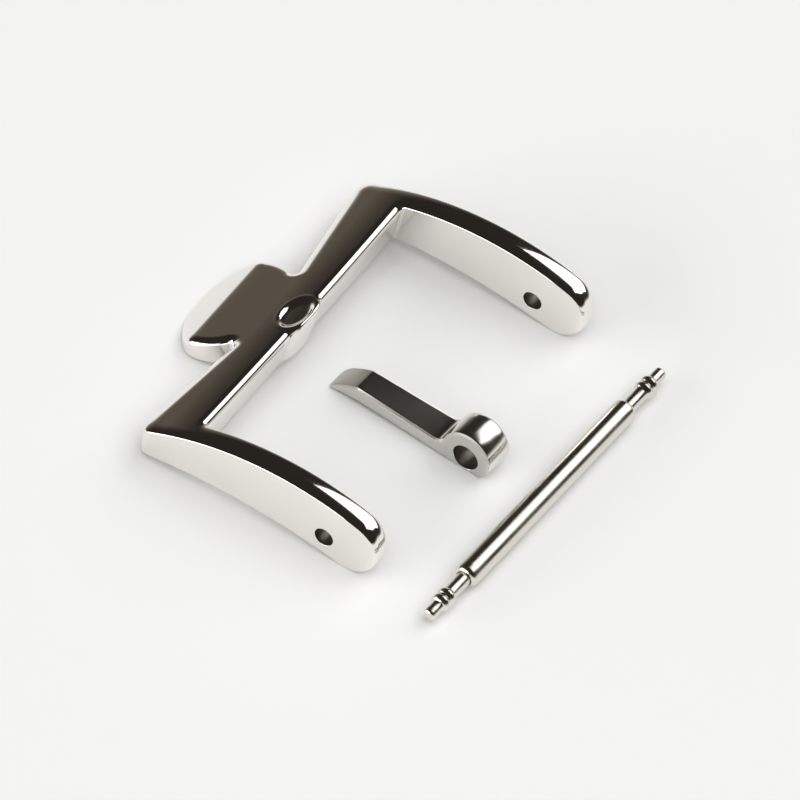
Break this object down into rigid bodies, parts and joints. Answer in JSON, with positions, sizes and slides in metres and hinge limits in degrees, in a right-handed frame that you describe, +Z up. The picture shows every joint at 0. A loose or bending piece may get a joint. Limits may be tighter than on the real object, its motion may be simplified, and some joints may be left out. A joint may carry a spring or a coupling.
{
  "type": "watch tang buckle",
  "caption": "Polished steel tang buckle for a watch strap, laid out apart: arched frame with a front petal, a bored tang and a sprung bar with telescoping tips.",
  "frame": {"origin": "midway between the two ear holes, on their common axis", "axes": "+X along the ear holes to the right ear, +Y from the front bar to the ears' ends, +Z up from the table"},
  "size_m": [0.0212, 0.0216, 0.004],
  "materials": {
    "frame_steel": "polished stainless steel",
    "tang_steel": "polished stainless steel",
    "bar_steel": "polished stainless steel",
    "spring_steel": "drawn spring wire"
  },
  "bodies": {
    "frame": {"buckle_frame": "frame_steel"},
    "tang": {"tang": "tang_steel"},
    "spring_bar": {"spring_bar_tube": "bar_steel", "spring_bar_coil_spring": "spring_steel"},
    "tip_left": {"spring_bar_tip_left": "bar_steel"},
    "tip_right": {"spring_bar_tip_right": "bar_steel"}
  },
  "joints": [
    {"name": "tang_swing", "type": "hinge", "parent": "frame", "child": "tang", "pos_m": [0.00045, 0.00268, -0.00047], "axis": [-0.9988, 0.0488, 0], "range_deg": [0, 120]},
    {"name": "spring_bar_roll", "type": "hinge", "parent": "frame", "child": "spring_bar", "pos_m": [0.00069, 0.00693, -0.00072], "axis": [0.9992, -0.0401, 0], "continuous": true},
    {"name": "tip_left_press", "type": "slide", "parent": "spring_bar", "child": "tip_left", "axis": [0.9992, -0.0401, 0], "range_m": [0, 0.00125], "stiffness_N_per_m": 1200, "springref_m": -0.0003, "deforming": ["spring_bar_coil_spring"]},
    {"name": "tip_right_press", "type": "slide", "parent": "spring_bar", "child": "tip_right", "axis": [-0.9992, 0.0401, 0], "range_m": [0, 0.00125], "stiffness_N_per_m": 1200, "springref_m": -0.0003, "deforming": ["spring_bar_coil_spring"]}
  ]
}
